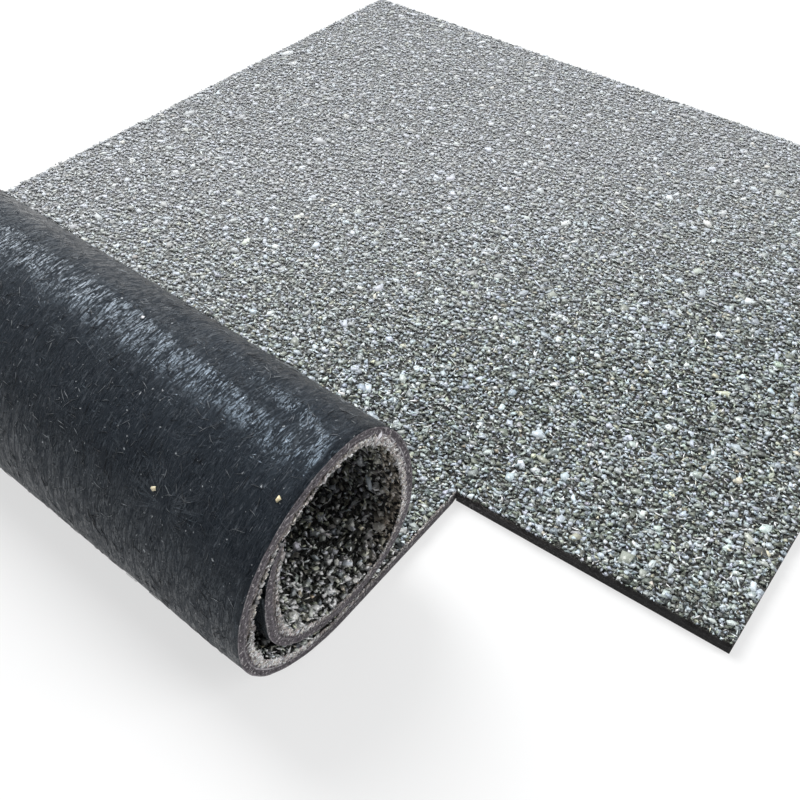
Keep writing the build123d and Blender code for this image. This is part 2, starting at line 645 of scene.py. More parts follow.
class Nodes:
    """The node tree of a material or world, with short calls for adding and joining nodes."""

    def __init__(self, owner: bpy.types.ID) -> None:
        """Starts the tree of a new material or world."""
        owner.use_nodes = True
        self.owner = owner
        self.tree = owner.node_tree

    def own(self, name: str) -> bpy.types.Node:
        """A node that the tree has from the start."""
        return self.tree.nodes[name]

    def fill(self, node: bpy.types.Node, values: dict[object, object]) -> None:
        """Feeds inputs of a node.

        Args:
            node: The node.
            values: A socket, a number, a vector or a colour for each input's name or number.
        """
        for key, value in values.items():
            target = node.inputs[key]
            if isinstance(value, Socket):
                self.tree.links.new(value, target)
            else:
                target.default_value = (*value, 1.0) if target.type == "RGBA" else value

    def add(self, kind: str, values: dict[object, object], **settings: object) -> bpy.types.Node:
        """Adds a node.

        Args:
            kind: Type of the node, without ShaderNode.
            values: What its inputs are fed.
            settings: Its settings.

        Returns:
            The node.
        """
        node = self.tree.nodes.new("ShaderNode" + kind)
        for key, value in settings.items():
            setattr(node, key, value)
        self.fill(node, values)
        return node

    def lay(self) -> Socket:
        """Travel, distance across and share of the depth, which the body's points carry."""
        return self.add("Attribute", {}, attribute_name=LAY).outputs["Vector"]

    def spot(self) -> Socket:
        """Object coordinates."""
        return self.add("TexCoord", {}).outputs["Object"]

    def split(self, vector: Socket) -> bpy.types.bpy_prop_collection:
        """The three coordinates of a vector."""
        return self.add("SeparateXYZ", {0: vector}).outputs

    def scaled(self, vector: Socket, scale: Triple, turn: float = 0.0) -> Socket:
        """Scales coordinates along each axis and turns them about Z, by degrees."""
        rotation = (0.0, 0.0, math.radians(turn))
        return self.add("Mapping", {"Vector": vector, "Rotation": rotation, "Scale": scale}).outputs[0]

    def draw(self, vector: Socket, pattern: Pattern) -> Socket:
        """Draws a noise pattern.

        Args:
            vector: Coordinates that it is drawn on.
            pattern: The pattern.

        Returns:
            The noise between 0 and 1, or the colour of its ramp if it has one.
        """
        scale = pattern.scale
        if isinstance(scale, tuple):
            vector, scale = self.scaled(vector, scale, pattern.turn), 1.0
        values = {"Vector": vector, "Scale": scale, "Detail": pattern.detail}
        values |= {"Roughness": pattern.rough, "Distortion": pattern.bend}
        noise = self.add("TexNoise", values).outputs["Fac"]
        return self.ramp(noise, pattern.stops) if pattern.stops else noise

    def ramp(self, factor: Socket, stops: Stops) -> Socket:
        """A colour ramp.

        Args:
            factor: What is looked up.
            stops: Places and their colours or grey levels.

        Returns:
            The ramp's colour.
        """
        node = self.add("ValToRGB", {"Fac": factor})
        elements = node.color_ramp.elements
        elements[0].position, elements[-1].position = stops[0][0], stops[-1][0]
        for place, _ in stops[1:-1]:
            elements.new(place)
        for element, (_, shade) in zip(elements, stops):
            rgb = (shade,) * 3 if isinstance(shade, float) else shade
            element.color = (*rgb, 1.0)
        return node.outputs["Color"]

    def mix(self, factor: object, first: object, second: object, blend: str = "MIX") -> Socket:
        """Mixes two colours by the share of the second."""
        values = {0: factor, 6: first, 7: second}
        return self.add("Mix", values, data_type="RGBA", blend_type=blend).outputs[2]

    def work(self, kind: str, first: object, second: object) -> Socket:
        """Works out one number from two, by an operation of the Math node."""
        return self.add("Math", {0: first, 1: second}, operation=kind).outputs[0]

    def times(self, first: object, second: object) -> Socket:
        """Multiplies two numbers."""
        return self.work("MULTIPLY", first, second)

    def plus(self, first: object, second: object) -> Socket:
        """Adds two numbers."""
        return self.work("ADD", first, second)

    def less(self, first: object, second: object) -> Socket:
        """Takes the second number from the first."""
        return self.work("SUBTRACT", first, second)

    def most(self, first: object, second: object) -> Socket:
        """The larger of two numbers."""
        return self.work("MAXIMUM", first, second)

    def shade(self, height: Socket, distance: float, values: dict[str, object]) -> bpy.types.Material:
        """Feeds the Principled shader.

        Args:
            height: Height of the bumps, between 0 and 1.
            distance: Height of 1, in metres.
            values: What its other inputs are fed.

        Returns:
            The material.
        """
        normal = self.add("Bump", {"Distance": distance, "Height": height}).outputs["Normal"]
        self.fill(self.own("Principled BSDF"), {**values, "Normal": normal})
        return self.owner


@dataclass(frozen=True)
class FilmFinish:
    """The thin glossy film on the black back, drawn over the fibres of the reinforcement."""

    name: str = "back_film"
    black: Colour = (0.0050, 0.0050, 0.0062)
    navy: Colour = (0.0125, 0.0160, 0.0220)
    hair: Colour = (0.150, 0.165, 0.185)
    # Dust with a painted reflection of the granule field, on the far side by the crest.
    wash: Colour = (0.088, 0.080, 0.070)
    tint: Colour = (0.63, 0.81, 1.0)
    mote: Colour = (0.46, 0.48, 0.50)
    dull: Colour = (0.50, 0.50, 0.50)
    cracked: Colour = (0.85, 0.85, 0.85)
    specular: float = 0.34
    relief: float = 0.00013
    crack_height: float = 0.8
    swell_height: float = 1.6
    hair_height: float = 0.35
    star_height: float = 1.2
    grain_height: float = 0.22
    grain_beyond: float = 0.75
    hair_light: float = 0.16
    star_light: float = 0.30
    pinch: Pair = (0.0755, 0.0297)
    pinch_reach: float = 0.02
    crease_scale: Pair = (4.6, 45.0)
    crease_fade: Stops = ((0.10, 0.0), (0.20, 0.9), (0.40, 0.6), (0.68, 0.0))
    far_band: Stops = ((0.20, 0.10), (0.28, 0.0), (0.388, 0.0), (0.42, 1.0), (0.47, 0.9), (0.54, 0.0))
    inside: Stops = ((0.17, 0.55), (0.27, 0.0))
    wide_stops: Stops = ((0.440, 0.0), (0.474, 1.0), (0.504, 1.0), (0.538, 0.0))
    narrow_stops: Stops = ((0.460, 0.0), (0.486, 0.9), (0.500, 0.9), (0.526, 0.0))
    hair_stops: Stops = ((0.482, 0.0), (0.498, 1.0), (0.502, 1.0), (0.518, 0.0))
    gap_stops: Stops = ((0.46, 0.0), (0.58, 1.0))
    crease: Pattern = Pattern(
        1.0, 2.0, 0.5, 0.15, 0.0, ((0.468, 0.0), (0.494, 1.0), (0.506, 1.0), (0.532, 0.0))
    )
    cloud: Pattern = Pattern(55.0, 4.0, 0.6)
    grain: Pattern = Pattern(2300.0, 3.0, 0.65)
    swell: Pattern = Pattern(210.0)
    wide: Pattern = Pattern((140.0, 780.0, 1.0), 3.0, 0.60, 0.8, 0.0, wide_stops)
    narrow: Pattern = Pattern((420.0, 1700.0, 1.0), 3.0, 0.60, 0.6, 14.0, narrow_stops)
    fine_hair: Pattern = Pattern((120.0, 420.0, 1.0), 1.0, 0.5, 0.5, 22.0, hair_stops)
    fine_gaps: Pattern = Pattern(66.0, stops=gap_stops)
    bold_hair: Pattern = Pattern((330.0, 80.0, 1.0), 1.0, 0.5, 0.5, -18.0, hair_stops)
    bold_gaps: Pattern = Pattern(181.5, stops=gap_stops)
    lint: Pattern = Pattern((260.0, 1500.0, 1.0), 3.0, 0.7, 0.4, 9.0, ((0.585, 0.0), (0.66, 0.42)))
    motes: Pattern = Pattern(820.0, stops=((0.705, 0.0), (0.74, 0.9)))
    blots: Pattern = Pattern(240.0, 5.0, 0.7, stops=((0.40, 0.25), (0.62, 0.9)))
    crumbs: Pattern = Pattern(900.0, 4.0, 0.7, stops=((0.42, 0.1), (0.60, 1.0)))
    smears: Pattern = Pattern(
        (110.0, 430.0, 1.0), 4.0, 0.65, 0.5, -8.0, ((0.38, 0.55), (0.44, 0.22), (0.50, 0.09))
    )

    def star(self, nodes: Nodes, travel: Socket, across: Socket) -> Socket:
        """Creases that run out from one point, where the film has been pinched.

        Args:
            nodes: The material's nodes.
            travel: Travel on the sheet.
            across: Distance across it.

        Returns:
            The creases, 1 at their middle.
        """
        along, aside = nodes.less(travel, self.pinch[0]), nodes.less(across, self.pinch[1])
        angle = nodes.work("ARCTAN2", aside, along)
        squares = nodes.plus(nodes.work("POWER", along, 2.0), nodes.work("POWER", aside, 2.0))
        reach = nodes.work("POWER", squares, 0.5)
        round_scale, out_scale = self.crease_scale
        polar = {0: nodes.times(angle, round_scale), 1: nodes.times(reach, out_scale)}
        line = nodes.draw(nodes.add("CombineXYZ", polar).outputs[0], self.crease)
        part = nodes.work("DIVIDE", reach, self.pinch_reach)
        return nodes.times(line, nodes.ramp(part, self.crease_fade))

    def material(self) -> bpy.types.Material:
        """Builds the material."""
        nodes = Nodes(bpy.data.materials.new(self.name))
        lay = nodes.lay()
        along, across, _ = nodes.split(lay)
        travel = nodes.work("DIVIDE", along, ROLL_LENGTH)
        far_side = nodes.ramp(travel, self.far_band)
        near_side = nodes.less(1.0, far_side)
        crack = nodes.most(nodes.draw(lay, self.wide), nodes.draw(lay, self.narrow))
        fine = nodes.times(nodes.draw(lay, self.fine_hair), nodes.draw(lay, self.fine_gaps))
        bold = nodes.times(nodes.draw(lay, self.bold_hair), nodes.draw(lay, self.bold_gaps))
        hair = nodes.most(fine, bold)
        star = self.star(nodes, along, across)
        swell, grain = nodes.draw(lay, self.swell), nodes.draw(lay, self.grain)
        rough = nodes.plus(nodes.times(far_side, self.grain_beyond), self.grain_height)
        height = nodes.times(nodes.less(1.0, nodes.times(crack, near_side)), self.crack_height)
        height = nodes.plus(height, nodes.times(swell, self.swell_height))
        height = nodes.plus(height, nodes.times(grain, rough))
        height = nodes.plus(height, nodes.times(hair, self.hair_height))
        height = nodes.plus(height, nodes.times(star, self.star_height))
        thread = nodes.most(nodes.times(hair, self.hair_light), nodes.draw(lay, self.lint))
        thread = nodes.most(thread, nodes.times(star, self.star_light))
        colour = nodes.mix(nodes.draw(lay, self.cloud), self.black, self.navy)
        for part, shade in ((thread, self.hair), (nodes.draw(lay, self.motes), self.mote)):
            colour = nodes.mix(nodes.times(part, near_side), colour, shade)
        # The wash on the far side: dust with a painted reflection of the granule field.
        washed = nodes.times(nodes.draw(lay, self.blots), nodes.draw(lay, self.crumbs))
        washed = nodes.times(far_side, washed)
        gloss = nodes.mix(crack, nodes.draw(lay, self.smears), self.cracked)
        gloss = nodes.mix(nodes.most(washed, nodes.ramp(travel, self.inside)), gloss, self.dull)
        values = {"Base Color": nodes.mix(washed, colour, self.wash), "Roughness": gloss}
        values |= {"Specular IOR Level": self.specular, "Specular Tint": self.tint}
        return nodes.shade(height, self.relief, values)


@dataclass(frozen=True)
class BedFinish:
    """The dark bitumen and fine grit between the flakes, with painted shade in the roll and dust and a
    painted sheen far off.
    """

    name: str = "grit_bed"
    tar: Colour = (0.010, 0.010, 0.009)
    grit: Colour = (0.024, 0.024, 0.021)
    bright: Colour = (0.110, 0.110, 0.096)
    # The wash: pale dust with a painted sheen towards the far corner.
    wash: Colour = (0.270, 0.272, 0.270)
    grains: float = 1500.0
    in_roll: Stops = ((0.44, 0.0), (0.52, 0.75))
    far_corner_share: Stops = ((FAR_FROM, 0.0), (FAR_FULL, 0.75))
    roughness: float = 0.55
    relief: float = 0.0004

    def material(self) -> bpy.types.Material:
        """Builds the material."""
        nodes = Nodes(bpy.data.materials.new(self.name))
        lay = nodes.lay()
        flat = nodes.scaled(lay, (1.0, 1.0, 0.0))
        grains = nodes.add("TexVoronoi", {"Vector": flat, "Scale": self.grains})
        tone = nodes.add("SeparateColor", {0: grains.outputs["Color"]}).outputs[0]
        pale = nodes.ramp(tone, ((0.35, self.tar), (0.60, self.grit), (0.98, self.bright)))
        along, across, _ = nodes.split(lay)
        travel = nodes.plus(nodes.work("DIVIDE", along, ROLL_LENGTH), 0.5)
        # Painted shade: the grit turns to tar inside the roll.
        shown = nodes.mix(nodes.ramp(travel, self.in_roll), pale, self.tar)
        # Pale dust and a painted sheen towards the far corner.
        shown = nodes.mix(nodes.ramp(nodes.less(across, along), self.far_corner_share), shown, self.wash)
        height = nodes.less(1.0, grains.outputs["Distance"])
        return nodes.shade(height, self.relief, {"Base Color": shown, "Roughness": self.roughness})


@dataclass(frozen=True)
class CutFinish:
    """The knife-cut edges: film, bitumen, a bright line of reinforcement and paler bitumen, under a
    painted shadow.
    """

    name: str = "cut_bitumen"
    tar: Colour = (0.014, 0.011, 0.014)
    outer: Colour = (0.056, 0.048, 0.056)
    inner: Colour = (0.105, 0.092, 0.092)
    rim: Colour = (0.340, 0.290, 0.260)
    thread: Colour = (0.520, 0.500, 0.520)
    fleck: Colour = (0.420, 0.395, 0.400)
    wobble: Pattern = Pattern(420.0)
    wobble_reach: float = 0.07
    line_soft: float = 0.35
    specks: Pattern = Pattern(1050.0, 4.0, 0.75, stops=((0.38, 0.30), (0.64, 2.3)))
    flecks: Pattern = Pattern(1200.0, stops=((0.59, 0.0), (0.64, 0.90)))
    broken: Pattern = Pattern(260.0, 3.0, stops=((0.38, 0.15), (0.56, 1.0)))
    crumbs: Pattern = Pattern(1500.0, 4.0, 0.65)
    bright: Stops = ((0.02, 0.35), (0.09, 1.0), (0.18, 0.20), (0.38, 0.20), (0.42, 1.0), (0.55, 0.2))
    # Painted shadow: a little darker on the flat part and the roll's foot, far darker along the field.
    foot_shadow: Stops = ((0.0, 0.80), (0.06, 1.0))
    on_field: Stops = ((0.31, 0.07), (0.34, 1.0))
    thread_at: Pair = (0.41, 0.48)
    film_at: Pair = (0.03, 0.09)
    film_share: float = 0.40
    roughness: float = 0.62
    specular: float = 0.25
    relief: float = 0.0005

    def line(self, nodes: Nodes, depth: Socket, at: Pair) -> Socket:
        """A line that runs along the sheet at one depth.

        Args:
            nodes: The material's nodes.
            depth: Depth in the sheet, as a share.
            at: Shares at which the line starts and ends.

        Returns:
            The line, 1 at its middle.
        """
        low, high = at
        soft = (high - low) * self.line_soft
        stops = ((low - soft, 0.0), (low + soft, 1.0), (high - soft, 1.0), (high + soft, 0.0))
        return nodes.ramp(depth, stops)

    def material(self) -> bpy.types.Material:
        """Builds the material."""
        nodes = Nodes(bpy.data.materials.new(self.name))
        spot = nodes.spot()
        along, _, share = nodes.split(nodes.lay())
        travel = nodes.work("DIVIDE", along, ROLL_LENGTH)
        wobble = nodes.times(nodes.draw(spot, self.wobble), self.wobble_reach)
        depth = nodes.plus(nodes.less(share, self.wobble_reach / 2), wobble)
        outside = ((0.00, self.tar), (0.07, self.outer), (0.54, self.outer))
        inside = ((0.64, self.inner), (0.76, self.inner), (0.86, self.rim))
        layers = nodes.ramp(depth, outside + inside)
        colour = nodes.mix(1.0, layers, nodes.draw(spot, self.specks), "MULTIPLY")
        colour = nodes.mix(nodes.draw(spot, self.flecks), colour, self.fleck)
        broken = nodes.draw(spot, self.broken)
        thread = nodes.times(self.line(nodes, depth, self.thread_at), broken)
        thread = nodes.times(thread, nodes.ramp(travel, self.bright))
        film_edge = nodes.times(self.line(nodes, depth, self.film_at), self.film_share)
        shown = nodes.most(thread, nodes.times(film_edge, broken))
        colour = nodes.mix(shown, colour, self.thread)
        on_field = nodes.ramp(nodes.plus(travel, 0.5), self.on_field)
        shadow = nodes.times(nodes.ramp(travel, self.foot_shadow), on_field)
        values = {"Base Color": nodes.mix(1.0, colour, shadow, "MULTIPLY")}
        values |= {"Roughness": self.roughness, "Specular IOR Level": self.specular}
        return nodes.shade(nodes.draw(spot, self.crumbs), self.relief, values)


@dataclass(frozen=True)
class SlateFinish:
    """The faces of the slate flakes, each in the colour that its points carry."""

    name: str = "slate_flakes"
    roughness: Pair = (0.22, 0.46)
    # Roughness of the flakes under the far wash.
    washed: Colour = (0.80, 0.80, 0.80)
    sheen: float = 0.85
    relief: float = 0.00006
    mottle: Pattern = Pattern(2400.0, 3.0, 0.6, stops=((0.32, 0.80), (0.70, 1.14)))
    pits: Pattern = Pattern(3200.0, 3.0, 0.6)

    def material(self) -> bpy.types.Material:
        """Builds the material."""
        nodes = Nodes(bpy.data.materials.new(self.name))
        stone = nodes.add("Attribute", {}, attribute_name=STONE).outputs
        spot = nodes.spot()
        colour = nodes.mix(1.0, stone["Color"], nodes.draw(spot, self.mottle), "MULTIPLY")
        low, high = self.roughness
        gloss = nodes.draw(spot, Pattern(700.0, stops=((0.3, low), (0.7, high))))
        gloss = nodes.mix(stone["Alpha"], self.washed, gloss)
        values = {"Base Color": colour, "Roughness": gloss, "Specular IOR Level": self.sheen}
        return nodes.shade(nodes.draw(spot, self.pits), self.relief, values)


@dataclass(frozen=True)
class FibreFinish:
    """The fibres that stand out under the film."""

    name: str = "film_fibre"
    dark: Colour = (0.014, 0.015, 0.018)
    pale: Colour = (0.260, 0.280, 0.300)
    roughness: float = 0.30

    def material(self) -> bpy.types.Material:
        """Builds the material."""
        nodes = Nodes(bpy.data.materials.new(self.name))
        patchy = Pattern(140.0, stops=((0.46, self.dark), (0.62, self.pale)))
        values = {"Base Color": nodes.draw(nodes.spot(), patchy), "Roughness": self.roughness}
        nodes.fill(nodes.own("Principled BSDF"), values)
        return nodes.owner


@dataclass(frozen=True)
class FloorFinish:
    """The plain pale floor, near white to the camera under and beyond the soft shadow."""

    name: str = "pale_floor"
    colour: Colour = (0.80, 0.80, 0.80)
    roughness: float = 0.8
    specular: float = 0.2
    white: float = 0.65

    def material(self) -> bpy.types.Material:
        """Builds the material."""
        nodes = Nodes(bpy.data.materials.new(self.name))
        shader = nodes.own("Principled BSDF")
        values = {"Base Color": self.colour, "Roughness": self.roughness}
        nodes.fill(shader, {**values, "Specular IOR Level": self.specular})
        path = nodes.add("LightPath", {}).outputs
        seen = nodes.most(path["Is Camera Ray"], path["Is Glossy Ray"])
        seen = nodes.most(seen, path["Is Transmission Ray"])
        glow = nodes.add("Emission", {"Strength": 1.0}).outputs[0]
        parts = {0: nodes.times(seen, self.white), 1: shader.outputs[0], 2: glow}
        blend = nodes.add("MixShader", parts).outputs[0]
        nodes.fill(nodes.own("Material Output"), {"Surface": blend})
        return nodes.owner


def set_mode(mode: str) -> None:
    """Enters edit mode or leaves it."""
    bpy.ops.object.mode_set(mode=mode)


def deselect_all() -> None:
    """Leaves object mode with nothing selected."""
    if bpy.context.object and bpy.context.object.mode != "OBJECT":
        set_mode("OBJECT")
    bpy.ops.object.select_all(action="DESELECT")


def enlist(piece: Piece) -> None:
    """Makes a piece ride with the part and logs its triangles.

    Args:
        piece: The piece.
    """
    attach(piece, BODY)
    triangles = sum(len(face.vertices) - 2 for face in piece.data.polygons)
    log.info("%s: %d triangles", piece.name, triangles)


@dataclass
class FeltBody:
    """The wound sheet of bitumen: its back, the bed of its granules and its cut edges."""

    scroll: Scroll
    plan: SheetPlan
    field_step: float = 0.0050
    roll_step: float = 0.0014
    across_step: float = 0.0040
    edge_step: float = 0.0020
    edge_reach: float = 0.012
    shares: tuple[float, ...] = (0.0, 0.05, 0.16, 0.30, 0.42, 0.52, 0.60, 0.68, 0.78, BED)
    rim_relief: float = 0.0006
    rim_shares: Pair = (0.50, BED)
    rim_wave: float = 0.006
    rim_swing: float = 0.8
    rim_mean: float = 0.35
    rim_most: float = 1.2
    back_relief: float = 0.00022
    back_mean: float = 0.6
    back_most: float = 2.0
    back_from: float = 0.012
    swells: tuple[tuple[int, float, float], ...] = ((1, 0.030, 0.6), (2, 0.009, 0.4))
    bed_relief: float = 0.00012
    bed_wave: float = 0.014
    cut_relief: float = 0.00016
    cut_wave: float = 0.006
    cut_waves: int = 20
    cut_edge: float = 0.01
    valley_depth: float = 0.00080
    valley_width: float = 0.0032
    valley_start: float = 0.1074
    valley_slope: float = 0.118
    valley_ends: Pair = (0.004, 0.016)
    valley_fade: Pair = (0.26, 0.16)

    def columns(self) -> Array:
        """Travel of each line across the sheet."""
        plan, end = self.plan, self.scroll.end
        flat = round(plan.field / self.field_step)
        field = np.linspace(plan.field_end, -plan.tail - plan.cut_length, flat)
        tail = np.linspace(-plan.tail, 0.0, round(plan.tail / self.roll_step) + 1)
        wound = np.linspace(0.0, end, round(end / self.roll_step) + 1)
        return np.concatenate([field, tail, wound[1:]])

    def rows(self) -> Array:
        """Distance across of each line along the sheet."""
        plan = self.plan
        half = plan.cut_width / 2
        near = np.linspace(-plan.overhang, -half, round(plan.overhang / self.edge_step) + 1)
        rim = np.linspace(half, self.edge_reach, round(self.edge_reach / self.edge_step) + 1)
        far = np.linspace(self.edge_reach, plan.tongue, round(plan.tongue / self.across_step) + 1)
        return np.concatenate([near, rim, far[1:]])

    def build(self) -> Piece:
        """Makes the sheet flat from a grid, cuts its notch, gives it thickness and winds it.

        Returns:
            The finished object.
        """
        columns, rows = self.columns(), self.rows()
        wide, tall = len(columns) - 1, len(rows) - 1
        deselect_all()
        bpy.ops.mesh.primitive_grid_add(x_subdivisions=wide, y_subdivisions=tall, size=1.0)
        sheet = bpy.context.object
        sheet.name = "felt_body"
        sheet.data.name = "felt_body"
        co = read(sheet.data.vertices, "co", 3, np.float32)
        co[:, 0] = np.rint((co[:, 0] + 0.5) * wide)
        co[:, 1] = np.rint((co[:, 1] + 0.5) * tall)
        write(sheet.data.vertices, "co", co)
        sheet.data.update()
        self.cut_notch(sheet.data, columns, rows)
        self.thicken()
        self.wind(sheet.data, columns, rows)
        return sheet

    def cut_notch(self, mesh: bpy.types.Mesh, columns: Array, rows: Array) -> None:
        """Deletes the faces in the notch and in the knife's over-cut.

        Args:
            mesh: The grid, with its lines one unit apart.
            columns: Travel of each column.
            rows: Distance across of each row.
        """
        middle = read(mesh.polygons, "center", 3, np.float32)
        travel = np.interp(middle[:, 0], np.arange(len(columns)), columns)
        across = np.interp(middle[:, 1], np.arange(len(rows)), rows)
        plan = self.plan
        gone = (travel > -plan.tail) & (across < plan.cut_width / 2)
        gone |= (travel > -plan.tail - plan.cut_length) & (np.abs(across) < plan.cut_width / 2)
        set_mode("EDIT")
        bpy.ops.mesh.select_mode(type="FACE")
        bpy.ops.mesh.select_all(action="DESELECT")
        set_mode("OBJECT")
        write(mesh.polygons, "select", gone)
        set_mode("EDIT")
        bpy.ops.mesh.delete(type="FACE")
        set_mode("OBJECT")

    def thicken(self) -> None:
        """Extrudes the flat sheet once for each layer of its cut edges."""
        set_mode("EDIT")
        bpy.ops.mesh.select_all(action="SELECT")
        for _ in self.shares[1:]:
            bpy.ops.mesh.extrude_region_move(TRANSFORM_OT_translate={"value": (0.0, 0.0, 1.0)})
        bpy.ops.mesh.select_all(action="SELECT")
        bpy.ops.mesh.normals_make_consistent(inside=False)
        set_mode("OBJECT")

    def wind(self, mesh: bpy.types.Mesh, columns: Array, rows: Array) -> None:
        """Lays every point on the scroll, and roughens the back and the cut edges.

        Args:
            mesh: The thick sheet, with its lines one unit apart.
            columns: Travel of each column.
            rows: Distance across of each row.
        """
        co = read(mesh.vertices, "co", 3, np.float32).astype(float)
        layer = np.rint(co[:, 2]).astype(int)
        travel = np.interp(co[:, 0], np.arange(len(columns)), columns)
        across = np.interp(co[:, 1], np.arange(len(rows)), rows)
        share = np.array(self.shares)[layer]
        on_tongue = (np.abs(across) < self.plan.cut_width) & (travel > -self.plan.tail + TINY)
        across = np.where(on_tongue, 0.0, across)
        leaned = self.plan.skewed(travel, across)
        inward = self.rim_wear(travel, across, leaned, share)
        placed = self.scroll.place(leaned - inward[:, 0], across + inward[:, 1], share)
        _, _, up = self.scroll.frame_at(leaned, across, 0.5)
        flat = np.stack([leaned, across], axis=1)
        swell = sum(waves(flat, SEED + seed, wave) * part for seed, wave, part in self.swells)
        rising = smooth_step(0.0, self.back_from, leaned) * self.back_relief
        swell = np.clip(swell + self.back_mean, 0.0, self.back_most)
        back = rising * swell + self.valley(leaned, across)
        bed = waves(flat, SEED + 3, self.bed_wave) * self.bed_relief
        relief = back * (layer == 0) + bed * (layer == len(self.shares) - 1)
        placed += up * relief[:, None]
        placed[:, 1] += self.cut_grain(flat, share)
        write(mesh.vertices, "co", placed)
        mesh.update()
        lay = mesh.attributes.new(LAY, "FLOAT_VECTOR", "POINT")
        write(lay.data, "vector", np.concatenate([flat, share[:, None]], axis=1))
        self.sort_faces(mesh, layer)

    def valley(self, travel: Array, across: Array) -> Array:
        """How deep the back sinks into the slanting valley near the roll's crown.

        Args:
            travel: Travel of each point.
            across: Distance across of each point.

        Returns:
            Depth of each point.
        """
        middle = self.valley_start + across * self.valley_slope
        shape = np.exp(-(((travel - middle) / self.valley_width) ** 2))
        for inward in (across, self.plan.tongue - across):
            shape = shape * smooth_step(*self.valley_ends, inward)
        return self.valley_depth * shape * smooth_step(*self.valley_fade, across)

    def rim_wear(self, travel: Array, across: Array, leaned: Array, share: Array) -> Array:
        """How far the granule side has crumbled back from the cut edges.

        Args:
            travel: Travel of each point before the notch's edge is leaned.
            across: Distance across of each point.
            leaned: Travel of each point.
            share: Depth of each point.

        Returns:
            For each point, how far it moves along the sheet and across it.
        """
        plan = self.plan
        flat = np.stack([leaned, across], axis=1)
        wear = waves(flat, SEED + 7, self.rim_wave) * self.rim_swing + self.rim_mean
        wear = np.clip(wear, 0.0, self.rim_most) * self.rim_relief
        wear = wear * smooth_step(*self.rim_shares, share)
        notch = (np.abs(travel + plan.tail) < TINY) & (across < -TINY)
        field_end = np.abs(travel - plan.field_end) < TINY
        near = (np.abs(across) < TINY) & (travel > -plan.tail - TINY)
        near |= np.abs(across + plan.overhang) < TINY
        far = np.abs(across - plan.tongue) < TINY
        signs = [notch.astype(float) - field_end, near.astype(float) - far]
        return np.stack(signs, axis=1) * wear[:, None]

    def cut_grain(self, flat: Array, share: Array) -> Array:
        """How far points of the roll's cut ends move in or out.

        Args:
            flat: Travel and distance across of each point.
            share: Depth of each point.

        Returns:
            The move of each point along the roll's axis.
        """
        places = np.stack([flat[:, 0], share * self.scroll.thickness], axis=1)
        grain = waves(places, SEED + 4, self.cut_wave, self.cut_waves) * self.cut_relief
        near = (np.abs(flat[:, 1]) < TINY) & (flat[:, 0] > -self.plan.tail - TINY)
        far = np.abs(flat[:, 1] - self.plan.tongue) < TINY
        inside = (share > self.cut_edge) & (share < BED - self.cut_edge)
        return grain * inside * (near.astype(float) - far)

    def sort_faces(self, mesh: bpy.types.Mesh, layer: Array) -> None:
        """Gives each face its finish: film behind, bed on the granule side, cut edges between.

        Args:
            mesh: The sheet's mesh.
            layer: Layer of each point.
        """
        for finish in (FilmFinish(), CutFinish(), BedFinish()):
            mesh.materials.append(finish.material())
        corners = layer[read(mesh.loops, "vertex_index", 1, np.int32)]
        starts = read(mesh.polygons, "loop_start", 1, np.int32)
        behind = np.maximum.reduceat(corners, starts) == 0
        on_bed = np.minimum.reduceat(corners, starts) == len(self.shares) - 1
        index = np.where(behind, 0, np.where(on_bed, 2, 1))
        write(mesh.polygons, "material_index", index)
        write(mesh.polygons, "use_smooth", index != 1)
        mesh.update()

    def dress(self, sheet: Piece) -> None:
        """Hides the CAD part and makes the finished sheet ride with the part."""
        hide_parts(CAD_NODE)
        enlist(sheet)


@dataclass(frozen=True)
class Grade:
    """One grade of flakes, by its sizes and how thickly it lies."""

    name: str
    spacing: float
    length: float
    length_spread: float
    aspect: Pair
    lift: Pair
    lean: float
    shape: FlakeShape = FlakeShape.WEDGE
    slivers: float = 0.0
    dark: float = 0.0
    pieces: int = 1


# Painted shade: the lowest flakes take more of the dark sorts, for the shade in the gaps above them.
UNDER = Grade("under", 0.00220, 0.00120, 0.20, (0.60, 0.95), (0.00, 0.28), 9.0, dark=0.7)
THIN = Grade(
    "thin", 0.00156, 0.00088, 0.30, (0.45, 0.88), (0.20, 0.85), 17.0, slivers=0.20, dark=0.1, pieces=2
)
PLUMP = Grade("plump", 0.00212, 0.00104, 0.28, (0.50, 0.90), (0.45, 1.00), 13.0, slivers=0.10)
COARSE = Grade(
    "coarse", 0.0064, 0.00130, 0.32, (0.50, 0.82), (0.75, 1.00), 7.0, FlakeShape.SLAB, dark=-1.5
)
CHIPS = Grade("chip", 0.0027, 0.00040, 0.25, (0.30, 0.80), (0.75, 1.05), 30.0, slivers=0.10)


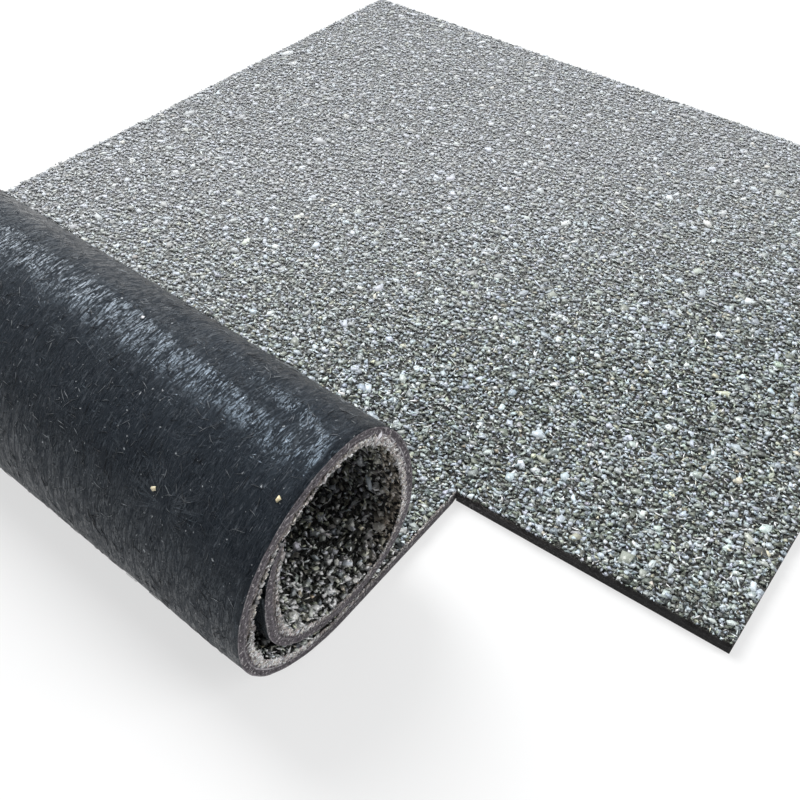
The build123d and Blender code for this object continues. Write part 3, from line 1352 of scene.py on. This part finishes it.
@dataclass
class GranuleLayer:
    """Slate flakes pressed into the bed of one part of the sheet."""

    scroll: Scroll
    plan: SheetPlan
    prefix: str = ""
    ragged: float = 0.00040
    room: float = 0.0008
    into_roll: float = 0.026
    lean_more: float = 1.0
    dark: float = 0.0
    grow: float = 1.0
    jitter: Pair = (0.12, 0.88)
    overlap: float = 0.75
    least_height: float = 0.00012
    width_height: float = 0.25
    lift_height: float = 0.6
    sliver_aspect: Pair = (0.12, 0.26)
    sliver_length: float = 1.30
    sliver_lean: float = 30.0
    # Painted highlight: slivers are made lighter, as thin lit edges.
    sliver_light: Pair = (1.7, 0.05)
    flattened: float = 0.60
    # The wash is pale dust with a painted sheen, blended over the flakes towards the far corner.
    wash: Colour = (0.600, 0.602, 0.630)
    wash_share: float = 0.60
    cool: Colour = (0.09, 0.02, 0.0)
    cool_reach: float = 0.20

    def reach(self) -> Four:
        """Lowest and highest travel and distance across that flakes are strewn over."""
        return self.plan.field_end, -self.into_roll, -self.plan.overhang, self.plan.tongue

    def kept(self, travel: Array, across: Array, past: Array, rng: Random) -> Array:
        """Which flakes lie on this part, with their middles at most so far past an edge."""
        return self.plan.on_sheet(travel, across, past)

    def tinted(self, travel: Array, across: Array, colour: Array, rng: Random) -> Array:
        """Changes the colours by place: cooler by the roll, and pale dust with a painted sheen far
        from it.

        Args:
            travel: Travel of each flake.
            across: Distance across of each flake.
            colour: Their colours.
            rng: Not used.

        Returns:
            The colours as they are shown.
        """
        # Pale dust and a painted sheen towards the far corner.
        share = self.wash_share * self.far_corner_share(travel, across)[:, None]
        near = np.clip(1.0 - travel / self.cool_reach, 0.0, 1.0)[:, None]
        cool = near * np.array([*self.cool, 0.0])
        return colour * (1.0 - cool) * (1.0 - share) + np.array([*self.wash, 1.0]) * share

    def far_corner_share(self, travel: Array, across: Array) -> Array:
        """How far places lie towards the far corner, from 0 by the notch to 1 there."""
        return np.clip((across - travel - FAR_FROM) / (FAR_FULL - FAR_FROM), 0.0, 1.0)

    def strew(self, grade: Grade, seed: int) -> FlakeBatch:
        """Strews one grade.

        Args:
            grade: The grade.
            seed: Seed of the places, sizes and colours.

        Returns:
            The flakes.
        """
        rng = np.random.default_rng(seed)
        first, last, near, far = self.reach()
        pitch = grade.spacing * self.grow
        grid = np.meshgrid(np.arange(first, last, pitch), np.arange(near, far, pitch))
        travel = grid[0].ravel() + rng.uniform(*self.jitter, grid[0].size) * pitch
        across = grid[1].ravel() + rng.uniform(*self.jitter, grid[1].size) * pitch
        spread = np.exp(rng.normal(0.0, grade.length_spread, len(travel)))
        length = grade.length * self.grow * spread
        past = self.ragged - self.overlap * length
        rows = np.nonzero(self.kept(travel, across, past, rng))[0]
        travel, across, length = travel[rows], across[rows], length[rows]
        count = len(rows)
        centre, along, up = self.scroll.frame_at(travel, across, BED)
        aspect = rng.uniform(*grade.aspect, count)
        slender = rng.uniform(0.0, 1.0, count) < grade.slivers
        aspect = np.where(slender, rng.uniform(*self.sliver_aspect, count), aspect)
        length = np.where(slender, length * self.sliver_length, length)
        width = length * aspect
        far_corner_share = self.far_corner_share(travel, across)
        lean = np.where(slender, self.sliver_lean, grade.lean) * self.lean_more
        way, normal = tilted(along, up, rng, lean * (1.0 - self.flattened * far_corner_share))
        lift = rng.uniform(*grade.lift, count) * self.room
        height = self.least_height + width * self.width_height + lift * self.lift_height
        colour = stone_colours(rng, count, 1.0 - (1.0 - grade.dark) * (1.0 - self.dark))
        # Painted highlight on the slivers.
        times, more = self.sliver_light
        colour[slender, :3] = colour[slender, :3] * times + more
        colour = np.clip(self.tinted(travel, across, colour, rng), 0.01, 1.0)
        colour[:, 3] = 1.0 - far_corner_share
        return FlakeBatch(centre + up * lift[:, None], way, normal, length, width, height, colour)

    def build(self, seed: int) -> list[Piece]:
        """Makes the flakes, grade by grade.

        Args:
            seed: First seed.

        Returns:
            The pieces.
        """
        pieces = []
        for grade in (UNDER, THIN, PLUMP, COARSE, CHIPS):
            batch = self.strew(grade, seed)
            for part in range(grade.pieces):
                number = f"_{part + 1}" if grade.pieces > 1 else ""
                name = f"{self.prefix}{grade.name}_slate{number}"
                rows = np.arange(len(batch)) % grade.pieces == part
                pieces.append(flake_piece(name, batch.pick(rows), grade.shape, seed + part + 1))
            seed += 10
        return pieces


@dataclass
class BoreLayer(GranuleLayer):
    """The flakes on the inside of the roll, in the crescent and under the roll's edge."""

    prefix: str = "bore_"
    lean_more: float = 2.4
    # Painted shade: more of the dark sorts inside the roll.
    dark: float = 0.25
    grow: float = 1.25
    end_gap: float = 0.001
    lapped_turn: float = 1.5
    full_reach: float = 0.060
    sparse: float = 0.10
    crescent_reach: float = 0.014
    # The wash here is tan dust on the bore's right side by the cut end.
    wash: Colour = (0.50, 0.43, 0.35)
    wash_share: float = 0.85
    dusty_turns: Four = (1.9, 2.3, 3.3, 3.9)
    dusty_reach: Pair = (0.002, 0.012)
    # Painted light on the flakes near the roll's cut ends.
    lit_reach: Pair = (0.003, 0.011)
    lit_more: float = 0.9
    tone_spread: Pair = (0.05, 0.75)
    # Painted light and shade round the bore, by turn.
    tone_turns: tuple[float, ...] = (0.0, 0.9, 1.5, 2.0, 2.6, 3.1, 3.5, 4.0, 4.5, 5.2, 6.0)
    tones: tuple[float, ...] = (1.0, 0.8, 0.70, 0.85, 0.90, 0.78, 0.72, 0.85, 1.35, 1.0, 0.5)
    crease_start: Pair = (0.2133, 0.0132)
    crease_end: Pair = (0.2093, 0.0064)
    crease_past: Pair = (0.002, 0.001)
    crease_half: float = 0.0007

    def reach(self) -> Four:
        """Lowest and highest travel and distance across that flakes are strewn over."""
        return -self.into_roll, self.scroll.end - self.end_gap, 0.0, self.plan.tongue

    def kept(self, travel: Array, across: Array, past: Array, rng: Random) -> Array:
        """Which flakes are kept: fewer of them deep inside, where no view reaches.

        Args:
            travel: Travel of each flake.
            across: Distance across of each flake.
            past: How far past an edge the middle of each may lie.
            rng: Source of random numbers.

        Returns:
            True for each flake that is kept.
        """
        inward = np.minimum(across, self.plan.tongue - across)
        lapped = travel < self.scroll.travel_at(self.lapped_turn)
        lapped &= inward > self.crescent_reach
        share = np.where(inward < self.full_reach, 1.0, self.sparse) * ~lapped
        lucky = rng.uniform(0.0, 1.0, len(travel)) < share
        return lucky & (inward > -past) & ~self.in_crease(travel, across)

    def in_crease(self, travel: Array, across: Array) -> Array:
        """Whether places lie in the crease where the bend has opened the flakes.

        Args:
            travel: Travel of each place.
            across: Distance across of each place.

        Returns:
            True for each place in the crease.
        """
        start = np.array(self.crease_start)
        way = np.array(self.crease_end) - start
        length = float(np.hypot(*way))
        way /= length
        spots = np.stack([travel, across], axis=1) - start
        along, beside = spots @ way, spots @ np.array([-way[1], way[0]])
        before, after = self.crease_past
        return (along > -before) & (along < length + after) & (np.abs(beside) < self.crease_half)

    def tinted(self, travel: Array, across: Array, colour: Array, rng: Random) -> Array:
        """Paints shade high in the bore and light low in it and by the cut ends, and dusts its right
        side by the cut end.

        Args:
            travel: Travel of each flake.
            across: Distance across of each flake.
            colour: Their colours.
            rng: Source of random numbers.

        Returns:
            The colours as they are shown.
        """
        inward = np.minimum(across, self.plan.tongue - across)
        washed = self.scroll.between(travel, self.dusty_turns)
        washed = washed * (1.0 - smooth_step(*self.dusty_reach, inward))
        share = (self.wash_share * washed)[:, None]
        bright = 0.5 + colour[:, :1] * 1.4
        # Painted light and shade by turn and by the cut ends, then a random spread.
        turns = [self.scroll.travel_at(turn) for turn in self.tone_turns]
        tone = np.interp(travel, turns, self.tones)
        tone = tone * (1.0 + self.lit_more * (1.0 - smooth_step(*self.lit_reach, inward)))
        tone = tone * np.exp(rng.normal(*self.tone_spread, len(tone)))
        shown = colour * np.where(np.arange(4) < 3, tone[:, None], 1.0)
        return shown * (1.0 - share) + np.array([*self.wash, 1.0]) * bright * share


@dataclass
class CutCrystals:
    """Granules that the knife laid bare along the inner rim of the cut ends.

    Many lie in three bends of the sheet, each with its four turns, how much deeper its crystals
    reach and how much lighter they are.
    """

    scroll: Scroll
    plan: SheetPlan
    count: int = 5000
    end_gap: float = 0.003
    inner_power: float = 1.4
    at_far_end: float = 0.4
    top: float = 0.965
    length: float = 0.00052
    length_spread: float = 0.42
    aspect: Pair = (0.45, 0.95)
    height: float = 0.0005
    lean: float = 16.0
    out: float = 0.00004
    out_spread: float = 0.00012
    bends: tuple[tuple[float, ...], ...] = (
        (1.85, 2.2, 3.1, 3.5),
        (0.05, 0.4, 0.9, 1.15),
        (4.2, 4.5, 4.9, 5.2),
    )
    reaches: tuple[float, ...] = (0.24, 0.22, 0.16)
    lights: tuple[float, ...] = (0.34, 0.92, 0.42)
    reach: float = 0.08
    most_reach: float = 0.36
    light: float = 0.62
    light_spread: Pair = (-0.10, 0.50)

    def build(self) -> Piece:
        """Makes the crystals of both cut ends of the roll.

        Returns:
            The piece.
        """
        rng = np.random.default_rng(SEED + 40)
        travel = rng.uniform(-self.plan.tail, self.scroll.end - self.end_gap, self.count * 3)
        bends = np.stack([self.scroll.between(travel, turns) for turns in self.bends])
        reach = np.array(self.reaches) @ bends + self.reach
        rows = np.nonzero(rng.uniform(0.0, self.most_reach, len(travel)) < reach)[0][: self.count]
        travel, bends, reach = travel[rows], bends[:, rows], reach[rows]
        count = len(travel)
        share = self.top - (reach + self.reach) * (1.0 - rng.power(self.inner_power, count))
        far = rng.uniform(0.0, 1.0, count) < self.at_far_end
        edge = np.where(far, self.plan.tongue, 0.0)
        centre = self.scroll.place(travel, edge, share)
        outward = np.zeros((count, 3))
        outward[:, 1] = np.where(far, 1.0, -1.0)
        _, along, _ = self.scroll.frame_at(travel, edge, BED)
        length = self.length * np.exp(rng.normal(0.0, self.length_spread, count))
        width = length * rng.uniform(*self.aspect, count)
        way, normal = tilted(along, outward, rng, np.full(count, self.lean))
        colour, _ = Crystal.pick(rng, count)
        tone = self.light + np.array(self.lights) @ bends
        tone = tone * np.exp(rng.normal(*self.light_spread, count))
        colour = np.clip(colour * tone[:, None], 0.02, 0.93)
        colour = np.concatenate([colour, np.ones((count, 1))], axis=1)
        place = centre + outward * (rng.uniform(0.0, self.out_spread, count)[:, None] + self.out)
        height = np.full(count, self.height)
        batch = FlakeBatch(place, way, normal, length, width, height, colour)
        return flake_piece("cut_crystals", batch, FlakeShape.WEDGE, SEED + 41)


@dataclass(frozen=True)
class Stray:
    """One granule that lies by itself."""

    travel: float
    across: float
    share: float
    length: float
    width: float
    turn: float
    colour: Colour
    on_cut: bool = False


@dataclass
class StrayGranules:
    """Single granules stuck to the back, the cut end and the crescent."""

    scroll: Scroll
    out: float = 0.00018
    height: float = 0.0004
    strays: tuple[Stray, ...] = (
        Stray(0.0777, 0.0342, -0.05, 0.00082, 0.00068, 60.0, (0.78, 0.68, 0.46)),
        Stray(0.0917, 0.0036, -0.05, 0.00095, 0.00082, 20.0, (0.80, 0.68, 0.42)),
        Stray(0.1090, 0.0686, -0.03, 0.00085, 0.00060, 75.0, (0.62, 0.63, 0.66)),
        Stray(0.1231, 0.0, 0.66, 0.00165, 0.00085, 98.0, (0.92, 0.90, 0.96), True),
        Stray(0.2227, 0.0, 0.80, 0.00135, 0.00075, 8.0, (0.70, 0.72, 0.78), True),
        Stray(0.0155, 0.0, 0.88, 0.00060, 0.00042, 0.0, (0.80, 0.78, 0.72), True),
        Stray(-0.0020, 0.0, 0.86, 0.00062, 0.00036, 12.0, (0.78, 0.77, 0.75), True),
        Stray(-0.0230, 0.0, 0.84, 0.00095, 0.00045, 6.0, (0.78, 0.77, 0.76), True),
        Stray(-0.0370, 0.0, 0.84, 0.00080, 0.00040, 0.0, (0.76, 0.75, 0.74), True),
    )

    def build(self) -> Piece:
        """Makes the single granules.

        Returns:
            The piece.
        """
        rows = []
        for stray in self.strays:
            travel, across = np.array([stray.travel]), np.array([stray.across])
            place, along, up = self.scroll.frame_at(travel, across, stray.share)
            outward = np.array([0.0, -1.0, 0.0]) if stray.on_cut else -up[0]
            angle = math.radians(stray.turn)
            way = math.cos(angle) * along[0] + math.sin(angle) * np.cross(outward, along[0])
            sizes = (stray.length, stray.width, self.height)
            rows.append((place[0] + outward * self.out, way, outward, *sizes, (*stray.colour, 1.0)))
        batch = FlakeBatch(*map(np.array, zip(*rows)))
        return flake_piece("stray_granules", batch, FlakeShape.SLAB, SEED + 60)


@dataclass
class BackFibres:
    """Single fibres of the reinforcement that stand out through the film."""

    scroll: Scroll
    plan: SheetPlan
    count: int = 3000
    joints: int = 4
    inset: float = 0.004
    lengths: Pair = (0.0012, 0.0048)
    bend: float = 0.35
    waver: float = 0.06
    width: float = 0.00006
    height: float = 0.00006
    sunk: float = 0.00008
    taper: float = 0.12
    last_turn: float = 3.0
    travel_gap: float = 0.001
    across_gap: float = 0.0005
    ring: float = 0.4

    def build(self) -> Piece:
        """Makes all fibres as one mesh of thin closed ridges.

        Returns:
            The piece.
        """
        rng = np.random.default_rng(SEED + 5)
        parts = MeshParts()
        last = self.scroll.travel_at(self.last_turn)
        middle, cell = bake_cells(self.count)
        for index in range(self.count):
            travel = rng.uniform(self.inset, last)
            line = [np.array([travel, rng.uniform(self.inset, self.plan.tongue - self.inset)])]
            length = rng.uniform(*self.lengths)
            heading = rng.uniform(0.0, math.tau)
            bend = rng.normal(0.0, self.bend) / self.joints
            for _ in range(self.joints - 1):
                heading += bend + rng.normal(0.0, self.waver)
                step = np.array([math.cos(heading), math.sin(heading)])
                line.append(line[-1] + step * length / self.joints)
            self.add_ridge(parts, np.array(line), middle[index], cell)
        piece = parts.make("back_fibres")
        piece.data.materials.append(FibreFinish().material())
        return piece

    def add_ridge(self, parts: MeshParts, line: Array, spot: Array, cell: float) -> None:
        """Adds one fibre.

        Args:
            parts: Mesh that it is added to.
            line: Its line on the sheet.
            spot: Middle of its cell on the bake map.
            cell: Width of that cell.
        """
        travel = np.clip(line[:, 0], self.travel_gap, self.scroll.end - self.travel_gap)
        across = np.clip(line[:, 1], self.across_gap, self.plan.tongue - self.across_gap)
        centre, along, up = self.scroll.frame_at(travel, across, 0.0)
        way = np.gradient(line, axis=0)
        way /= np.linalg.norm(way, axis=1, keepdims=True)
        side = -way[:, 1:] * along + way[:, :1] * np.array([[0.0, 1.0, 0.0]])
        taper = np.sin(np.linspace(self.taper, math.pi - self.taper, len(line)))[:, None]
        left = centre - side * self.width * taper + up * self.sunk
        right = centre + side * self.width * taper + up * self.sunk
        crest = centre - up * self.height * taper
        points = np.stack([left, crest, right], axis=1).reshape(-1, 3)
        first, second, last = np.array([0, 1, 2]), np.array([1, 2, 0]), 3 * (len(line) - 1)
        walls = np.stack([first, first + 3, second + 3, second], axis=1)
        faces = [walls + here for here in range(0, last, 3)]
        ends = np.array([0, 1, 2, last + 2, last + 1, last])
        corners = np.concatenate([np.array(faces).ravel(), ends])
        counts = np.array([4] * 3 * len(faces) + [3, 3])
        share = np.arange(len(corners)) / len(corners) * math.tau
        spots = spot + np.stack([np.cos(share), np.sin(share)], axis=1) * cell * self.ring
        parts.add(points, corners, counts, np.ones((len(points), 4)), spots)


@dataclass(frozen=True)
class SoftLamp:
    """A large soft lamp that shines on the middle of the part."""

    name: str
    way: Triple
    size: float
    tall: float
    power: float
    far: float = 2.2

    def hang(self) -> None:
        """Hangs the lamp."""
        way = Vector(self.way).normalized()
        light = bpy.data.lights.new(self.name, "AREA")
        light.shape = "ELLIPSE"
        light.size = self.size
        light.size_y = self.tall
        light.energy = self.power
        lamp = bpy.data.objects.new(self.name, light)
        lamp.location = way * self.far
        lamp.rotation_euler = (-way).to_track_quat("-Z", "Y").to_euler()
        bpy.context.scene.collection.objects.link(lamp)


@dataclass(frozen=True)
class Studio:
    """Floor, lamps, sky and camera."""

    camera_place: Triple = (-0.22986, -0.16684, 0.22446)
    camera_turn: Triple = (42.71, -0.528, -51.5)
    lens: float = 39.23
    floor_size: float = 12.0
    lamps: tuple[SoftLamp, ...] = (
        SoftLamp("high_lamp", (0.155, 0.575, 0.80), 1.10, 1.50, 52.0),
        SoftLamp("side_lamp", (0.36, -0.76, 0.54), 1.20, 1.20, 26.0),
    )
    sky_colour: Colour = (0.95, 0.98, 1.0)
    sky_way: Triple = (0.30, 0.60, 0.74)
    sky_from: float = -0.3
    sky_low: float = 0.10
    sky_high: float = 0.45
    glow_way: Triple = (0.52, 0.74, 0.42)
    glow_power: float = 6.0
    glow: float = 1.7

    def build(self) -> None:
        """Sets the whole scene up."""
        self.lay_floor()
        for lamp in self.lamps:
            lamp.hang()
        self.paint_sky()
        self.aim_camera()
        bpy.context.scene.view_settings.view_transform = "Standard"

    def lay_floor(self) -> None:
        """Lays the floor under the part."""
        deselect_all()
        bpy.ops.mesh.primitive_plane_add(size=self.floor_size, location=(0.0, 0.0, 0.0))
        floor = bpy.context.object
        floor.name = "floor"
        floor.data.materials.append(FloorFinish().material())

    def paint_sky(self) -> None:
        """Paints a plain sky that is lighter on the high lamp's side, most of all low down."""
        world = bpy.data.worlds.new("plain_sky")
        bpy.context.scene.world = world
        nodes = Nodes(world)
        around = nodes.add("TexCoord", {}).outputs["Generated"]

        def toward(way: Triple) -> Socket:
            """How nearly the sky lies in one direction."""
            values = {0: around, 1: Vector(way).normalized()}
            return nodes.add("VectorMath", values, operation="DOT_PRODUCT").outputs["Value"]

        values = {"Value": toward(self.sky_way), "From Min": self.sky_from, "From Max": 1.0}
        values |= {"To Min": self.sky_low, "To Max": self.sky_high}
        sky = nodes.add("MapRange", values).outputs["Result"]
        glow = nodes.work("POWER", nodes.most(toward(self.glow_way), 0.0), self.glow_power)
        strength = nodes.plus(sky, nodes.times(glow, self.glow))
        nodes.fill(nodes.own("Background"), {"Color": self.sky_colour, "Strength": strength})

    def aim_camera(self) -> None:
        """Places the camera where the photograph was taken from."""
        camera = bpy.data.cameras.new("camera")
        camera.lens = self.lens
        camera.sensor_width = 36.0
        camera.clip_start = 0.01
        camera.clip_end = 100.0
        holder = bpy.data.objects.new("camera", camera)
        holder.location = self.camera_place
        holder.rotation_euler = Euler([math.radians(angle) for angle in self.camera_turn])
        bpy.context.scene.collection.objects.link(holder)
        bpy.context.scene.camera = holder


def main() -> None:
    """Builds and dresses every piece in order."""
    logging.basicConfig(level=logging.INFO, format="%(name)s %(message)s")
    scroll, plan = Scroll(), SheetPlan()
    body = FeltBody(scroll, plan)
    body.dress(body.build())
    dry, bright = SlateFinish().material(), SlateFinish("bore_flakes", (0.06, 0.26)).material()
    granules = [(piece, dry) for piece in GranuleLayer(scroll, plan).build(SEED + 100)]
    granules += [(piece, bright) for piece in BoreLayer(scroll, plan).build(SEED + 200)]
    granules += [(CutCrystals(scroll, plan).build(), dry), (StrayGranules(scroll).build(), dry)]
    for piece, finish in granules:
        piece.data.materials.append(finish)
        enlist(piece)
    enlist(BackFibres(scroll, plan).build())
    Studio().build()


if __name__ == "__main__":
    main()
